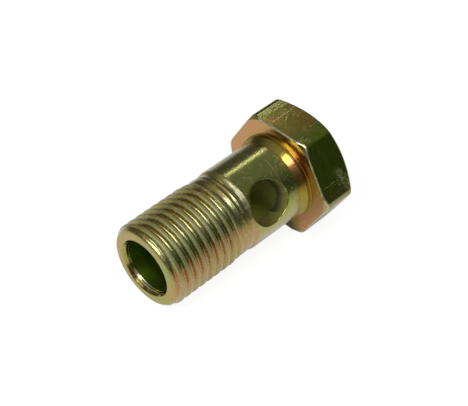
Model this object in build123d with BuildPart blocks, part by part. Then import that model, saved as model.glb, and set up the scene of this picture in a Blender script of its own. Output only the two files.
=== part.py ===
"""Banjo bolt M14 x 1.5, the hollow screw that clamps a banjo fitting to a tapped port.

It is one turned, milled and drilled piece of steel. Oil or brake fluid enters the axial bore at the
threaded end and leaves through a cross hole in the plain shank, where the ring of the fitting sits
between two washers. The bolt lies as it comes to rest on a level surface, on one flat of its head and
the first full turn of its thread, with z = 0 at the surface and its length along +X, head first.
"""

import os
from math import atan2, cos, radians, sin, tan

from build123d import *

# ---------------------------------------------------------------- driving dimensions (mm, degrees)

# Threaded end. The thread itself is a plain cylinder at its major diameter.
thread_diameter = 14.0
lead_in_length = 1.0  # from the end face to the first full turn
lead_in_depth = 0.75  # radial, so the end face is a ring just wider than the thread's root
thread_length = 11.0  # full turns, after the lead-in
runout_length = 3.3  # the last turns grow shallow towards the neck

# Neck between the thread and the shank
neck_diameter = 13.2
neck_length = 1.3
shoulder_length = 0.4

# Plain shank, which the banjo ring sits around
shank_diameter = 13.9
shank_length = 9.2

# Collar under the head, which centres the sealing washer
collar_diameter = 14.9
collar_cone_length = 1.2
collar_band_length = 0.6
collar_edge_radius = 0.15

# Hexagon head, chamfered on both faces
across_flats = 19.0
head_height = 7.0
head_chamfer_angle = 30.0
top_corner_cut = 2.47  # radial, how far the corners are turned back on the outer face
seat_corner_cut = 0.92  # the same on the face under the head, which leaves the flats whole

# Fluid passage: a blind bore from the threaded end, met by a hole straight across the shank
bore_diameter = 8.5
bore_overrun = 1.05  # full bore past the far edge of the cross hole
drill_point_angle = 118.0
mouth_diameter = 9.8
mouth_cone_length = 0.6
mouth_step_diameter = 9.1
mouth_step_length = 0.25
cross_hole_diameter = 7.2
cross_hole_to_head = 7.65  # from the seat under the head to the hole's centre line
cross_hole_turn = 60.0  # about the bolt's axis, from the upper flat to the next one

# ---------------------------------------------------------------- stations along the bolt's axis

thread_start = lead_in_length
thread_end = thread_start + thread_length
neck_start = thread_end + runout_length
shoulder_start = neck_start + neck_length
shank_start = shoulder_start + shoulder_length
collar_start = shank_start + shank_length
collar_band_start = collar_start + collar_cone_length
head_seat = collar_band_start + collar_band_length
head_top = head_seat + head_height
cross_hole_station = head_seat - cross_hole_to_head
bore_end = cross_hole_station + cross_hole_diameter / 2 + bore_overrun
bore_tip = bore_end + bore_diameter / 2 / tan(radians(drill_point_angle / 2))

thread_radius = thread_diameter / 2
lip_radius = thread_radius - lead_in_depth
half_flats = across_flats / 2
hex_corner_radius = half_flats / cos(radians(30))
top_chamfer_radius = hex_corner_radius - top_corner_cut
seat_chamfer_radius = hex_corner_radius - seat_corner_cut
chamfer_rise = tan(radians(head_chamfer_angle))

# ---------------------------------------------------------------- how the bolt lies

# The edge of the lower flat next to the seat and the start of the full thread both touch z = 0,
# because the head is wider than the thread. The difference tips the head end up.
lower_flat_start = head_seat + max(0.0, half_flats - seat_chamfer_radius) * chamfer_rise
tilt = atan2(half_flats - thread_radius, lower_flat_start - thread_start)

# The origin is under the middle of the bolt's length, from the lip's upper edge to the outer face's lower one.
left_reach = -lip_radius * sin(tilt)
right_reach = head_top * cos(tilt) + top_chamfer_radius * sin(tilt)
mouth_x = -(left_reach + right_reach) / 2
mouth_z = thread_radius * cos(tilt) - thread_start * sin(tilt)

# Bolt plane: origin at the mouth's centre, normal along the axis towards the head, x up at the upper flat.
bolt_plane = Plane(
    origin=(mouth_x, 0, mouth_z),
    x_dir=(-sin(tilt), 0, cos(tilt)),
    z_dir=(cos(tilt), 0, sin(tilt)),
)
bolt_axis = Axis(bolt_plane.origin, bolt_plane.z_dir)

# Turning plane: x is the radius and y the station along the axis.
turning_plane = Plane(origin=bolt_plane.origin, x_dir=bolt_plane.x_dir, z_dir=-bolt_plane.y_dir)

# Drilling plane of the cross hole, square to one of the head's flats.
cross_hole_plane = Plane(
    origin=bolt_plane.offset(cross_hole_station).origin,
    x_dir=bolt_plane.z_dir,
    z_dir=bolt_plane.x_dir.rotate(Axis((0, 0, 0), bolt_plane.z_dir), cross_hole_turn),
)

# ---------------------------------------------------------------- banjo bolt

with BuildPart() as banjo_bolt:
    # Hexagon bar of the head, one flat up and one down
    with BuildSketch(bolt_plane.offset(head_seat)):
        RegularPolygon(radius=half_flats, side_count=6, major_radius=False, rotation=30)
    extrude(amount=head_height)

    # Both faces turned down at the corners: the outer one to a round face, the seat only at its tips
    with BuildSketch(turning_plane):
        with BuildLine():
            Polyline(
                (0, head_seat),
                (seat_chamfer_radius, head_seat),
                (hex_corner_radius, head_seat + seat_corner_cut * chamfer_rise),
                (hex_corner_radius, head_top - top_corner_cut * chamfer_rise),
                (top_chamfer_radius, head_top),
                (0, head_top),
                close=True,
            )
        make_face()
    revolve(axis=bolt_axis, mode=Mode.INTERSECT)

    # Stem turned in one pass: lead-in, thread, run-out, neck, shank and collar
    with BuildSketch(turning_plane) as stem_profile:
        with BuildLine():
            Polyline(
                (0, 0),
                (lip_radius, 0),
                (thread_radius, thread_start),
                (thread_radius, thread_end),
                (neck_diameter / 2, neck_start),
                (neck_diameter / 2, shoulder_start),
                (shank_diameter / 2, shank_start),
                (shank_diameter / 2, collar_start),
                (collar_diameter / 2, collar_band_start),
                (collar_diameter / 2, head_seat),
                (0, head_seat),
                close=True,
            )
        make_face()
        collar_rim = stem_profile.vertices().sort_by_distance(
            turning_plane.from_local_coords((collar_diameter / 2, collar_band_start))
        )[0]
        fillet(collar_rim, radius=collar_edge_radius)
    revolve(axis=bolt_axis)

    # Blind axial bore with a countersunk, stepped mouth and the cone that the drill leaves
    with BuildSketch(turning_plane):
        with BuildLine():
            Polyline(
                (0, 0),
                (mouth_diameter / 2, 0),
                (mouth_step_diameter / 2, mouth_cone_length),
                (bore_diameter / 2, mouth_cone_length + mouth_step_length),
                (bore_diameter / 2, bore_end),
                (0, bore_tip),
                close=True,
            )
        make_face()
    revolve(axis=bolt_axis, mode=Mode.SUBTRACT)

    # Cross hole through both walls of the shank
    with BuildSketch(cross_hole_plane):
        Circle(cross_hole_diameter / 2)
    extrude(amount=collar_diameter / 2, both=True, mode=Mode.SUBTRACT)

banjo_bolt.part.label = "banjo_bolt"

# ---------------------------------------------------------------- files

os.makedirs("parts", exist_ok=True)
export_step(banjo_bolt.part, "parts/banjo_bolt.step")
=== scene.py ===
"""Banjo bolt M14 x 1.5 in yellow passivated zinc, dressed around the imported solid.

The bolt is one turned, milled and drilled piece, so one mesh stands for the solid. It is built as the real
one is machined: turned profiles are spun, the thread is a helical spin, the head is cut from a turned blank
by its six flats, and the drilled shank is laid out flat, punched and rolled up. Sizes are in millimetres on
the bolt's own axis until the finished mesh is placed in the frame, in metres.
"""

import logging
import math
from dataclasses import dataclass, field, replace
from enum import Enum
from typing import Any, Iterable, Optional, Sequence, Union

import bmesh
import bpy
from bmesh.types import BMEdge, BMesh, BMFace, BMVert
from mathutils import Matrix, Vector


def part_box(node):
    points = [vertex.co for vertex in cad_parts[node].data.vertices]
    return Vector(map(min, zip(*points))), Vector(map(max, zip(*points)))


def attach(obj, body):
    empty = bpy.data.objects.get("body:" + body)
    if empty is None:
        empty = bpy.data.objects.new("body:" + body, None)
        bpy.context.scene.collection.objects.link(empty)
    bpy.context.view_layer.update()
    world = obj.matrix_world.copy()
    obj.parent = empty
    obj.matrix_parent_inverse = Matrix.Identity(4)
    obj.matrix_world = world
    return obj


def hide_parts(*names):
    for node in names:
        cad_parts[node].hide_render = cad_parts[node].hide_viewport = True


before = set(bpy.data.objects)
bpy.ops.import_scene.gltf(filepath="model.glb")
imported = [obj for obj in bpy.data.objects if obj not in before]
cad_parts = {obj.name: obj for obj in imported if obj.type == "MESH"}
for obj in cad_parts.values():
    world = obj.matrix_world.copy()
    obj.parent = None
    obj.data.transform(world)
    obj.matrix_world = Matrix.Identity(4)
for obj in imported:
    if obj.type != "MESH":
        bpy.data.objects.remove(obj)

logging.basicConfig(level=logging.INFO, format="%(name)s: %(message)s")
log = logging.getLogger("banjo_bolt")

MM = 0.001
CAD_NODE = "banjo_bolt"
PIECE = "banjo_bolt_plated"
ARC = 0.15  # millimetres of unrolled surface for a degree

SPIN_STEPS = 144  # segments in a full turn
SECTOR_STEPS = 12  # segments that are spun one by one before the sector is copied
STEP_ANGLE = math.tau / SPIN_STEPS
MERGE_DISTANCE = 0.001  # points closer than this are one
ARC_PROFILE = 0.5  # profile that makes a bevel a circular arc
BEND_LIMIT = math.radians(1)  # a face bent by more is split
CUT_DISTANCE = 0.0001  # how near a point lies to a cutting plane to count as on it
AXIS = Vector((0, 0, 1))
ORIGIN = Vector((0, 0, 0))
SIDES = 6
SIDE_TURN = 360 / SIDES  # from one flat of the head to the next, in degrees
FLANK_ANGLE = math.radians(30)  # between a flank of the thread and a plane across the bolt


class Zone(Enum):
    """The finish that a face of the bolt takes. The value is its material slot, counted from 1.

    A face under work has the value as its material index, and 0 until a zone claims it.
    """

    TURNED = 1
    THREAD = 2
    SHOULDER = 3
    LIP = 4
    MOUTH = 5
    THROAT = 6
    BORE = 7
    HOLE = 8
    DRILLED = 9
    COLLAR = 10
    SEAT = 11
    CHAMFER = 12
    FLAT = 13
    FACE = 14
    EDGE = 15


# ---------------------------------------------------------------- sizes


@dataclass(frozen=True)
class BoltSizes:
    """Driving sizes of the bolt in millimetres, the same as the solid's."""

    thread_diameter: float = 14.0
    pitch: float = 1.5
    lead_in_length: float = 1.0
    lead_in_depth: float = 0.75
    thread_length: float = 11.0
    runout_length: float = 3.3
    neck_diameter: float = 13.2
    neck_length: float = 1.3
    shoulder_length: float = 0.4
    shank_diameter: float = 13.9
    shank_length: float = 9.2
    collar_diameter: float = 14.9
    collar_cone_length: float = 1.2
    collar_band_length: float = 0.6
    across_flats: float = 19.0
    head_height: float = 7.0
    head_chamfer_angle: float = 30.0
    top_corner_cut: float = 2.47
    seat_corner_cut: float = 0.92
    bore_diameter: float = 8.5
    bore_overrun: float = 1.05
    drill_point_angle: float = 118.0
    mouth_diameter: float = 9.8
    mouth_cone_length: float = 0.6
    cross_hole_diameter: float = 7.2
    cross_hole_to_head: float = 7.65
    cross_hole_turn: float = 60.0

    @property
    def thread_end(self) -> float:
        """Station where the full thread ends."""
        return self.lead_in_length + self.thread_length

    @property
    def neck_start(self) -> float:
        """Station where the thread has run out."""
        return self.thread_end + self.runout_length

    @property
    def shoulder_start(self) -> float:
        """Station where the neck widens towards the shank."""
        return self.neck_start + self.neck_length

    @property
    def shank_start(self) -> float:
        """Station where the shank has its full diameter."""
        return self.shoulder_start + self.shoulder_length

    @property
    def collar_start(self) -> float:
        """Station where the collar's cone rises from the shank."""
        return self.shank_start + self.shank_length

    @property
    def collar_band_start(self) -> float:
        """Station of the collar's rim."""
        return self.collar_start + self.collar_cone_length

    @property
    def head_seat(self) -> float:
        """Station of the face under the head."""
        return self.collar_band_start + self.collar_band_length

    @property
    def head_top(self) -> float:
        """Station of the head's outer face."""
        return self.head_seat + self.head_height

    @property
    def cross_hole_station(self) -> float:
        """Station of the cross hole's centre line."""
        return self.head_seat - self.cross_hole_to_head

    @property
    def bore_end(self) -> float:
        """Station where the bore's cylinder ends."""
        return self.cross_hole_station + self.cross_hole_diameter / 2 + self.bore_overrun

    @property
    def bore_tip(self) -> float:
        """Station of the tip of the drill's cone."""
        return self.bore_end + self.bore_diameter / 2 / math.tan(math.radians(self.drill_point_angle / 2))

    @property
    def thread_radius(self) -> float:
        """Radius of the thread's crests."""
        return self.thread_diameter / 2

    @property
    def lip_radius(self) -> float:
        """Outer radius of the end face."""
        return self.thread_radius - self.lead_in_depth

    @property
    def half_flats(self) -> float:
        """Distance of a flat from the axis."""
        return self.across_flats / 2

    @property
    def hex_corner_radius(self) -> float:
        """Radius of the hexagon's corners."""
        return self.half_flats / math.cos(math.radians(SIDE_TURN / 2))

    @property
    def chamfer_rise(self) -> float:
        """Height of a chamfer of the head for each millimetre of radius."""
        return math.tan(math.radians(self.head_chamfer_angle))

    @property
    def tilt(self) -> float:
        """Angle by which the axis rises towards the head, as the bolt lies, in radians."""
        return math.atan2(self.half_flats - self.thread_radius, self.head_seat - self.lead_in_length)

    def placement(self) -> Matrix:
        """Where the bolt lies.

        Returns:
            The matrix from the bolt's own axes (x at the upper flat, z from the mouth to the head, in
            millimetres) to the frame, in metres.
        """
        top_radius = self.hex_corner_radius - self.top_corner_cut
        left_reach = -self.lip_radius * math.sin(self.tilt)
        right_reach = self.head_top * math.cos(self.tilt) + top_radius * math.sin(self.tilt)
        mouth_x = -(left_reach + right_reach) / 2
        mouth_z = self.thread_radius * math.cos(self.tilt) - self.lead_in_length * math.sin(self.tilt)
        lean = Matrix.Rotation(math.radians(90) - self.tilt, 4, "Y")
        upright = Matrix.Rotation(math.radians(180), 4, "Z")
        return Matrix.Scale(MM, 4) @ Matrix.Translation((mouth_x, 0, mouth_z)) @ lean @ upright


# ---------------------------------------------------------------- turned profiles


def whole(bm: BMesh) -> list[Union[BMVert, BMEdge, BMFace]]:
    """All the geometry of a mesh under work."""
    return [*bm.verts, *bm.edges, *bm.faces]


def merge(bm: BMesh) -> None:
    """Makes one point of those that lie in one place."""
    bmesh.ops.remove_doubles(bm, verts=bm.verts[:], dist=MERGE_DISTANCE)


@dataclass(frozen=True)
class Corner:
    """A corner of a turned profile.

    Attributes:
        station: Place along the axis.
        radius: Distance from the axis.
        rounding: How far along its two sides the corner is rounded back.
    """

    station: float
    radius: float
    rounding: float = 0.0


@dataclass(frozen=True)
class Profile:
    """Half a section through the axis.

    Attributes:
        corners: Its corners, from one end to the other.
        rounding_segments: Faces across a rounded corner.
    """

    corners: Sequence[Corner]
    rounding_segments: int = 4

    def draw(self, bm: BMesh) -> tuple[list[BMVert], list[BMEdge]]:
        """Draws the profile in the XZ plane and rounds its corners.

        Args:
            bm: Mesh to draw in.

        Returns:
            The profile's vertices, in order from the first corner, and its edges.
        """
        points = [bm.verts.new((c.radius, 0, c.station)) for c in self.corners]
        for start, end in zip(points, points[1:]):
            bm.edges.new((start, end))
        for point, corner in zip(points, self.corners):
            if corner.rounding:
                bmesh.ops.bevel(
                    bm,
                    geom=[point],
                    offset=corner.rounding,
                    offset_type="OFFSET",
                    segments=self.rounding_segments,
                    profile=ARC_PROFILE,
                    affect="VERTICES",
                    material=-1,
                )
        chain = [points[0]]
        edges: list[BMEdge] = []
        while True:
            onward = [e for e in chain[-1].link_edges if e not in edges]
            if not onward:
                return chain, edges
            edges.append(onward[0])
            chain.append(onward[0].other_vert(chain[-1]))

    def outline(self) -> list[tuple[float, float]]:
        """The rounded profile as (station, radius) pairs."""
        bm = bmesh.new()
        chain, _ = self.draw(bm)
        points = [(v.co.z, v.co.x) for v in chain]
        bm.free()
        return points

    def spin(self, lift: float = 0.0) -> BMesh:
        """Spins the profile through one turn.

        A sector is spun, and copies of it complete the turn, which is many times faster than one long spin.

        Args:
            lift: How far the turn climbs along the axis.

        Returns:
            A mesh with the turned surface alone.
        """
        part = bmesh.new()
        chain, edges = self.draw(part)
        sector_angle = STEP_ANGLE * SECTOR_STEPS
        sectors = SPIN_STEPS // SECTOR_STEPS
        bmesh.ops.spin(
            part,
            geom=[*chain, *edges],
            cent=ORIGIN,
            axis=AXIS,
            dvec=AXIS * (lift / SPIN_STEPS),
            angle=sector_angle,
            steps=SECTOR_STEPS,
        )
        bmesh.ops.spin(
            part,
            geom=whole(part),
            cent=ORIGIN,
            axis=AXIS,
            dvec=AXIS * (lift / sectors),
            angle=math.tau - sector_angle,
            steps=sectors - 1,
            use_duplicate=True,
        )
        merge(part)
        return part


def claim_faces(bm: BMesh, zone: Zone) -> None:
    """Gives the faces that no zone has yet to this one.

    Args:
        bm: Mesh under work.
        zone: Finish of the new faces.
    """
    for face in bm.faces:
        if face.material_index == 0:
            face.material_index = zone.value


def join(bm: BMesh, part: BMesh, zone: Zone) -> None:
    """Adds one mesh under work to another and frees it.

    Args:
        bm: Mesh that gets the other's geometry.
        part: Mesh that is added.
        zone: Finish of its faces that have none.
    """
    claim_faces(part, zone)
    carrier = bpy.data.meshes.new("carrier")
    part.to_mesh(carrier)
    part.free()
    bm.from_mesh(carrier)
    bpy.data.meshes.remove(carrier)


def ring_at(bm: BMesh, station: float) -> list[BMEdge]:
    """The open edges that lie at one station.

    Args:
        bm: Mesh under work.
        station: Place along the axis.

    Returns:
        The edges with one face whose two ends are at that station.
    """
    return [
        e for e in bm.edges if e.is_boundary and all(abs(v.co.z - station) < MERGE_DISTANCE for v in e.verts)
    ]


def radial(angle: float) -> Vector:
    """Unit vector square to the axis, at an angle in degrees from the upper flat."""
    return Vector((math.cos(math.radians(angle)), math.sin(math.radians(angle)), 0))


# ---------------------------------------------------------------- thread


@dataclass
class Thread:
    """Right-hand metric thread, from the lead-in cone to where it runs out towards the neck.

    Attributes:
        sizes: Sizes of the bolt.
        start: Station of its first ring.
        crest_at_zero: Station of a crest over the upper flat.
        crest_width: Width of the crest before it is rounded.
        crest_rounding: How far the crest's corners are rounded back.
        root_radius: Radius of the root.
        deepening: Stations where the groove starts and has its full depth.
        fading: Stations where the groove starts to grow shallow and ends.
        end: Station of the last ring, on the neck.
        ridges: Stations of the ridges that turning left on the neck.
        ridge_height: Their height.
        ridge_width: Half their width.
        clip_softness: Width over which the crests blend into the lead-in cone.
        spare_turns: Turns of the helix that are cut off again before its first ring, at least.
        rounding_segments: Faces across the rounded root.
    """

    sizes: BoltSizes
    start: float = 0.34
    crest_at_zero: float = 1.25
    crest_width: float = 0.46
    crest_rounding: float = 0.04
    root_radius: float = 0.3
    deepening: tuple[float, float] = (0.25, 0.7)
    fading: tuple[float, float] = (12.2, 15.2)
    end: float = 16.1
    ridges: tuple[float, ...] = (14.75, 15.58)
    ridge_height: float = 0.13
    ridge_width: float = 0.3
    clip_softness: float = 0.06
    spare_turns: int = 2
    rounding_segments: int = 6

    def groove(self) -> Profile:
        """One pitch of the thread, from crest to crest, with its flanks meeting in a round root."""
        pitch = self.sizes.pitch
        crest = self.sizes.thread_radius
        half_crest = self.crest_width / 2
        sharp_depth = (pitch / 2 - half_crest) / math.tan(FLANK_ANGLE)
        root_reach = self.root_radius / math.tan(FLANK_ANGLE)
        return Profile(
            (
                Corner(0, crest),
                Corner(half_crest, crest, self.crest_rounding),
                Corner(pitch / 2, crest - sharp_depth, root_reach),
                Corner(pitch - half_crest, crest, self.crest_rounding),
                Corner(pitch, crest),
            ),
            rounding_segments=self.rounding_segments,
        )

    def crest_limit(self, station: float) -> float:
        """Radius of the crests along the run-out, before the lead-in cone cuts them."""
        run = (station - self.sizes.thread_end) / self.sizes.runout_length
        drop = self.sizes.thread_radius - self.sizes.neck_diameter / 2
        return self.sizes.thread_radius - drop * min(1.0, max(0.0, run))

    def groove_share(self, station: float) -> float:
        """Share of the groove's depth that is cut at a station."""
        return self.eased(station, *self.deepening) * (1 - self.eased(station, *self.fading))

    def ridge(self, station: float) -> float:
        """Height of the neck's ridges at a station."""
        nearest = min(abs(station - ridge) for ridge in self.ridges)
        return self.ridge_height * (1 - self.eased(nearest, 0, self.ridge_width))

    @staticmethod
    def eased(value: float, low: float, high: float) -> float:
        """A smooth step from 0 at low to 1 at high."""
        share = min(1.0, max(0.0, (value - low) / (high - low)))
        return share * share * (3 - 2 * share)

    def lead_in(self, station: float) -> float:
        """Radius of the lead-in cone."""
        return self.sizes.lip_radius + self.sizes.lead_in_depth * station / self.sizes.lead_in_length

    def shape(self, vert: BMVert) -> None:
        """Moves a point of the helix out to the crest limit, up the run-out and in to the lead-in cone."""
        station = vert.co.z
        radius = math.hypot(vert.co.x, vert.co.y)
        cut = (self.sizes.thread_radius - radius) * self.groove_share(station)
        wanted = self.crest_limit(station) - cut + self.ridge(station)
        cone = self.lead_in(station)
        overlap = max(0.0, self.clip_softness - abs(wanted - cone))
        wanted = min(wanted, cone) - overlap * overlap / (4 * self.clip_softness)
        vert.co.x *= wanted / radius
        vert.co.y *= wanted / radius

    def build(self, bm: BMesh) -> None:
        """Spins one pitch into the helix, trims it to its length and shapes both ends.

        Args:
            bm: Mesh that gets the thread. Its other geometry is left alone.
        """
        pitch = self.sizes.pitch
        helix = self.groove().spin(lift=pitch)
        turns_before = math.ceil((self.crest_at_zero - self.start) / pitch) + self.spare_turns
        first_crest = self.crest_at_zero - turns_before * pitch
        turns = math.ceil((self.end - first_crest) / pitch) + 1
        bmesh.ops.translate(helix, vec=AXIS * first_crest, verts=helix.verts[:])
        bmesh.ops.spin(
            helix,
            geom=whole(helix),
            cent=ORIGIN,
            axis=AXIS,
            dvec=AXIS * pitch,
            angle=0,
            steps=turns - 1,
            use_duplicate=True,
        )
        merge(helix)
        for station, keep in ((self.start, AXIS), (self.end, -AXIS)):
            bmesh.ops.bisect_plane(
                helix,
                geom=whole(helix),
                plane_co=AXIS * station,
                plane_no=keep,
                clear_inner=True,
            )
        for vert in helix.verts:
            self.shape(vert)
        join(bm, helix, Zone.THREAD)


# ---------------------------------------------------------------- drilled shank


@dataclass
class DrilledWall:
    """One skin of the shank with the cross hole through it: laid out flat, punched and rolled up.

    Attributes:
        sizes: Sizes of the bolt.
        outline: Turned profile that the skin follows, as (station, radius) pairs from low to high station.
        cut_stations: Stations that get a row of edges of their own.
        patch_columns: Segments across the patch round the hole.
        hole_rings: Rings of faces between the hole and the patch's border.
        rim_rounding: How much wider the punched hole is than the drilled one.
        outward: 1 where the skin faces away from the axis, -1 where it faces the bore.
        rim_segments: Faces across the rounding of the hole's edge.
    """

    sizes: BoltSizes
    outline: Sequence[tuple[float, float]]
    cut_stations: Sequence[float]
    patch_columns: int
    hole_rings: int
    rim_rounding: float
    outward: int
    rim_segments: int = 3

    @property
    def patch_rows(self) -> int:
        """Segments up the patch, so that its border has as many as the hole."""
        return SPIN_STEPS // 2 - self.patch_columns

    @property
    def bottom(self) -> float:
        """Station where the skin starts."""
        return self.outline[0][0]

    @property
    def top(self) -> float:
        """Station where the skin ends."""
        return self.outline[-1][0]

    def radius_at(self, station: float) -> float:
        """Radius of the turned profile at a station."""
        for (low, low_radius), (high, high_radius) in zip(self.outline, self.outline[1:]):
            if station <= high + MERGE_DISTANCE:
                share = (station - low) / (high - low)
                return low_radius + (high_radius - low_radius) * min(1.0, max(0.0, share))
        return self.outline[-1][1]

    def lay_grid(self, bm: BMesh, columns: int, first_angle: float) -> list[BMVert]:
        """Lays a flat grid, with x the angle in degrees and y the station.

        Args:
            bm: Mesh that gets the grid.
            columns: Segments across.
            first_angle: Angle of its first column.

        Returns:
            The grid's vertices.
        """
        grid = bmesh.ops.create_grid(bm, x_segments=columns, y_segments=self.patch_rows, size=0.5)["verts"]
        width = columns * math.degrees(STEP_ANGLE)
        bmesh.ops.scale(bm, vec=(width, self.top - self.bottom, 1), verts=grid)
        centre = (first_angle + width / 2, (self.bottom + self.top) / 2, 0)
        bmesh.ops.translate(bm, vec=centre, verts=grid)
        return grid

    def punch(self, bm: BMesh, patch: list[BMVert]) -> None:
        """Replaces the inside of a flat patch with rings of faces round the hole.

        Args:
            bm: Flat mesh that holds the patch alone.
            patch: The patch's vertices.
        """
        border = [e for e in bm.edges if e.is_boundary]
        bmesh.ops.delete(bm, geom=[v for v in patch if not v.is_boundary], context="VERTS")
        punched_radius = self.sizes.cross_hole_diameter / 2 + self.rim_rounding
        hole = bmesh.ops.create_circle(bm, segments=SPIN_STEPS, radius=punched_radius)["verts"]
        for vert in hole:
            station = self.sizes.cross_hole_station + vert.co.y
            turn = math.degrees(math.asin(vert.co.x / self.radius_at(station)))
            vert.co = (self.sizes.cross_hole_turn + turn, station, 0)
        rim = list({e for v in hole for e in v.link_edges})
        strip = bmesh.ops.bridge_loops(bm, edges=[*rim, *border])["faces"]
        spokes = {e for f in strip for e in f.edges} - set(rim) - set(border)
        bmesh.ops.subdivide_edges(bm, edges=list(spokes), cuts=self.hole_rings - 1)

    def round_rims(self, bm: BMesh) -> None:
        """Rounds the punched edges over into the walls of the drilled hole.

        Args:
            bm: Rolled up mesh of the skin.
        """
        centre = AXIS * self.sizes.cross_hole_station
        drilled_radius = self.sizes.cross_hole_diameter / 2
        drill = radial(self.sizes.cross_hole_turn)
        inner_ends = self.bottom + MERGE_DISTANCE, self.top - MERGE_DISTANCE
        rim = [
            e
            for e in bm.edges
            if e.is_boundary and all(inner_ends[0] < v.co.z < inner_ends[1] for v in e.verts)
        ]
        for step in range(self.rim_segments):
            turn = math.radians(90 * (step + 1) / self.rim_segments)
            last_turn = math.radians(90 * step / self.rim_segments)
            sink = self.rim_rounding * (math.cos(last_turn) - math.cos(turn)) * self.outward
            reach = drilled_radius + self.rim_rounding * (1 - math.sin(turn))
            added = bmesh.ops.extrude_edge_only(bm, edges=rim)["geom"]
            for vert in (g for g in added if isinstance(g, BMVert)):
                offset = vert.co - centre
                height = offset.dot(drill)
                across = offset - drill * height
                deeper = height - math.copysign(sink, height)
                vert.co = centre + across.normalized() * reach + drill * deeper
            rim = [g for g in added if isinstance(g, BMEdge) and g.is_boundary]

    def build(self, bm: BMesh, zone: Zone) -> None:
        """Builds the whole skin with its two holes.

        Args:
            bm: Mesh that gets the skin.
            zone: Its finish.
        """
        flat = bmesh.new()
        patch_width = self.patch_columns * math.degrees(STEP_ANGLE)
        patch_start = self.sizes.cross_hole_turn - patch_width / 2
        patch = self.lay_grid(flat, self.patch_columns, patch_start)
        self.punch(flat, patch)
        self.lay_grid(flat, SPIN_STEPS // 2 - self.patch_columns, patch_start + patch_width)
        merge(flat)
        for station in self.cut_stations:
            bmesh.ops.bisect_plane(
                flat,
                geom=whole(flat),
                plane_co=(0, station, 0),
                plane_no=(0, 1, 0),
                dist=MERGE_DISTANCE,
            )
        for vert in flat.verts:
            vert.co = radial(vert.co.x) * self.radius_at(vert.co.y) + AXIS * vert.co.y
        half = whole(flat)
        bmesh.ops.spin(flat, geom=half, cent=ORIGIN, axis=AXIS, angle=math.pi, steps=1, use_duplicate=True)
        merge(flat)
        self.round_rims(flat)
        join(bm, flat, zone)


def bridge(bm: BMesh, edges: Iterable[BMEdge], zone: Zone) -> None:
    """Joins two open rings by a strip of faces.

    Args:
        bm: Mesh under work.
        edges: The edges of both rings.
        zone: Finish of the strip.
    """
    for face in bmesh.ops.bridge_loops(bm, edges=list(edges))["faces"]:
        face.material_index = zone.value


@dataclass
class DrilledShank:
    """Plain shank with the cross hole, from the neck to just before the collar, outside and inside.

    Attributes:
        sizes: Sizes of the bolt.
        low: Station where it starts, on the neck.
        high: Station where it ends outside, on the shank.
        bore_high: Station where it ends inside the bore.
        shoulder_shift: How much nearer the mouth the shoulder lies.
        shoulder_rounding: How far its two corners are rounded back.
        outer_rim_rounding: Rounding of the cross hole's edge on the shank.
        inner_rim_rounding: Rounding of its edge in the bore.
    """

    sizes: BoltSizes
    low: float = 16.15
    high: float = 25.2
    bore_high: float = 24.6
    shoulder_shift: float = 0.2
    shoulder_rounding: float = 0.2
    outer_rim_rounding: float = 0.12
    inner_rim_rounding: float = 0.08

    def build(self, bm: BMesh) -> None:
        """Builds the skins of the shank and the walls of the cross hole.

        Args:
            bm: Mesh that gets them.
        """
        sizes = self.sizes
        neck_radius, shank_radius = sizes.neck_diameter / 2, sizes.shank_diameter / 2
        foot = sizes.shoulder_start - self.shoulder_shift
        top = sizes.shank_start - self.shoulder_shift / 2
        shoulder = Profile(
            (
                Corner(self.low, neck_radius),
                Corner(foot, neck_radius, self.shoulder_rounding),
                Corner(top, shank_radius, self.shoulder_rounding),
                Corner(self.high, shank_radius),
            )
        ).outline()
        rows = [station for station, _ in shoulder[1:-1]]
        outside = DrilledWall(
            sizes,
            shoulder,
            rows,
            patch_columns=36,
            hole_rings=5,
            rim_rounding=self.outer_rim_rounding,
            outward=1,
        )
        outside.build(bm, Zone.TURNED)
        for face in bm.faces:
            if face.material_index == Zone.TURNED.value and face.calc_center_median().z < sizes.shank_start:
                face.material_index = Zone.SHOULDER.value
        bore_radius = sizes.bore_diameter / 2
        inside = DrilledWall(
            sizes,
            [(self.low, bore_radius), (self.bore_high, bore_radius)],
            rows,
            patch_columns=60,
            hole_rings=4,
            rim_rounding=self.inner_rim_rounding,
            outward=-1,
        )
        inside.build(bm, Zone.HOLE)
        drill = radial(sizes.cross_hole_turn)
        for side in (1, -1):
            rims = [
                e
                for e in bm.edges
                if e.is_boundary
                and all(self.on_drilled_edge(v) for v in e.verts)
                and side * e.verts[0].co.dot(drill) > 0
            ]
            bridge(bm, rims, Zone.DRILLED)

    def on_drilled_edge(self, vert: BMVert) -> bool:
        """Whether a point lies at the cross hole's radius from its centre line."""
        offset = vert.co - AXIS * self.sizes.cross_hole_station
        drill = radial(self.sizes.cross_hole_turn)
        across = (offset - drill * offset.dot(drill)).length
        return abs(across - self.sizes.cross_hole_diameter / 2) < MERGE_DISTANCE


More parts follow.
